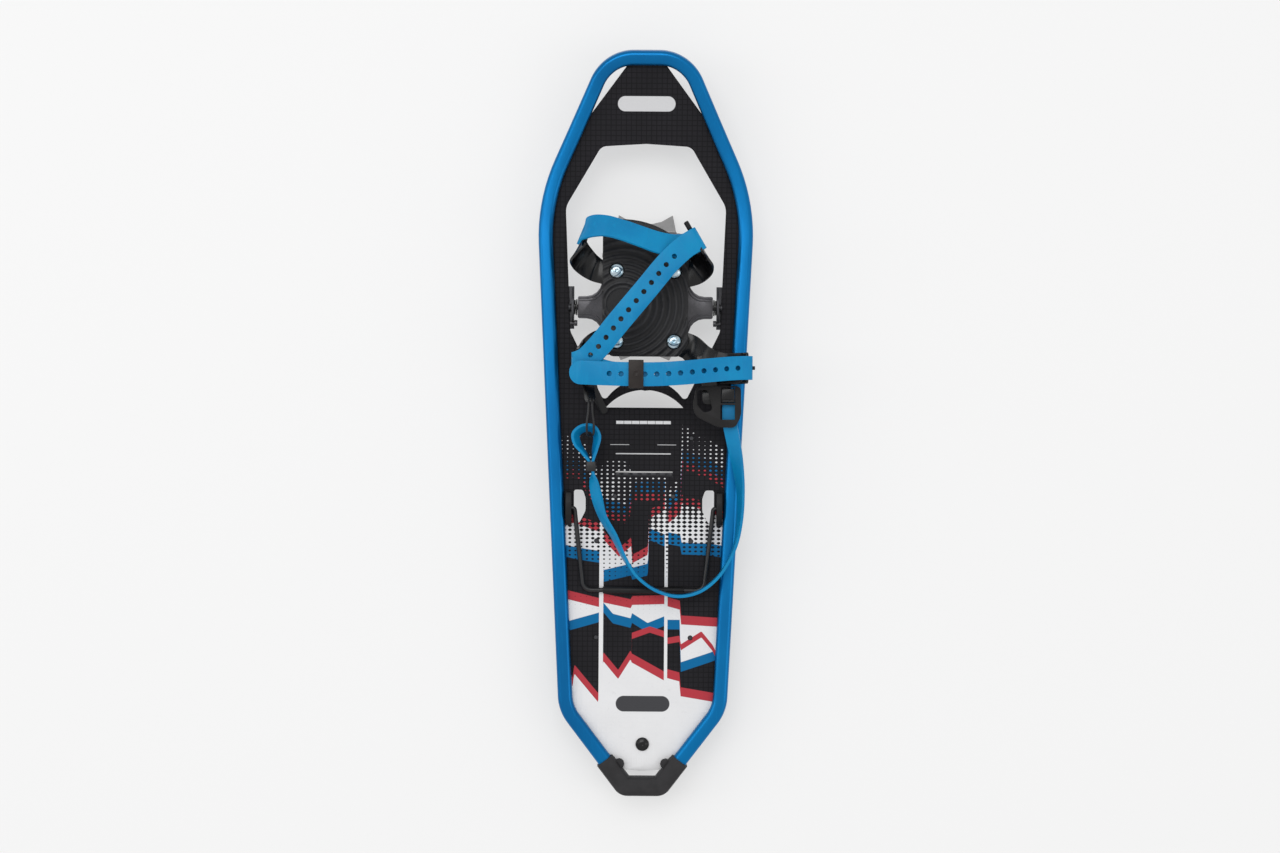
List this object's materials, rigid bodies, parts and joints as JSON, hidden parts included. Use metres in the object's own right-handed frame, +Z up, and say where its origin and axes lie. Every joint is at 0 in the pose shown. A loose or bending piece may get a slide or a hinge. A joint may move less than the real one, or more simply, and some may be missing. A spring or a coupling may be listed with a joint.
{
  "type": "snowshoe",
  "caption": "Tube-framed snowshoe with a fabric deck, pivoting strap binding, toe crampon, toothed rails and folding heel lift.",
  "frame": {"origin": "on the ground under the middle of the snowshoe", "axes": "+X to the wearer's right, +Y towards the nose, +Z up"},
  "size_m": [0.1906, 0.661, 0.1058],
  "materials": {
    "blue_anodised": "satin anodised tube",
    "black_plastic": "fine moulded grain",
    "gloss_plastic": "glossy moulded",
    "deck_fabric": "printed coated ripstop",
    "steel": "brushed",
    "cast_grey": "satin dark grey",
    "zinc": "zinc plated",
    "blue_strap": "smooth moulded urethane",
    "black_wire": "black powder coat"
  },
  "bodies": {
    "frame": {"frame_tube": "blue_anodised", "tail_cap": "black_plastic", "deck": "deck_fabric", "tail_button": "gloss_plastic", "heel_cleat": "steel", "rail_rivet_1_left": "steel", "rail_rivet_1_right": "steel", "rail_rivet_2_left": "steel", "rail_rivet_2_right": "steel", "rail_rivet_3_left": "steel", "rail_rivet_3_right": "steel", "cleat_rivet_left": "steel", "cleat_rivet_right": "steel", "traction_rail_left": "steel", "pivot_bracket_left": "steel", "pivot_bush_left": "gloss_plastic", "rotation_stop_left": "steel", "bail_bracket_left": "black_plastic", "traction_rail_right": "steel", "pivot_bracket_right": "steel", "pivot_bush_right": "gloss_plastic", "rotation_stop_right": "steel", "bail_bracket_right": "black_plastic"},
    "binding": {"pivot_pin_left": "steel", "pivot_washer_left": "gloss_plastic", "pivot_pin_right": "steel", "pivot_washer_right": "gloss_plastic", "carriage": "cast_grey", "footbed": "black_plastic", "toe_crampon": "steel", "binding_bolt_1": "zinc", "binding_nut_1": "zinc", "binding_bolt_2": "zinc", "binding_nut_2": "zinc", "binding_bolt_3": "zinc", "binding_nut_3": "zinc", "binding_bolt_4": "zinc", "binding_nut_4": "zinc", "toe_arm_left": "gloss_plastic", "toe_arm_right": "gloss_plastic", "instep_arm_left": "gloss_plastic", "instep_arm_right": "gloss_plastic", "harness_strap": "blue_strap", "toe_peg": "black_plastic", "instep_prong": "black_plastic", "heel_buckle": "black_plastic", "heel_strap": "blue_strap", "strap_ferrule": "black_wire", "heel_hook": "black_wire"},
    "strap_keeper": {"strap_keeper": "black_plastic"},
    "buckle_lever": {"heel_buckle_lever": "gloss_plastic"},
    "heel_lift": {"heel_lift_bail": "black_wire", "heel_lift_bar": "black_plastic"}
  },
  "joints": [
    {"name": "binding_pivot", "type": "hinge", "parent": "frame", "child": "binding", "pos_m": [0, 0.104, 0.038], "axis": [-1, 0, 0], "range_deg": [0, 60], "stiffness_Nm_per_rad": 0.6, "springref_deg": -8.59},
    {"name": "heel_lift_pivot", "type": "hinge", "parent": "frame", "child": "heel_lift", "pos_m": [0, -0.0745, 0.0384], "axis": [-1, 0, 0], "range_deg": [0, 100], "deforming": ["heel_strap"]},
    {"name": "keeper_slide", "type": "slide", "parent": "binding", "child": "strap_keeper", "axis": [1, 0, 0], "range_m": [-0.006, 0.006]},
    {"name": "lever_hinge", "type": "hinge", "parent": "binding", "child": "buckle_lever", "pos_m": [0.0728, 0.0308, 0.0694], "axis": [-1, 0, 0], "range_deg": [0, 75]}
  ]
}
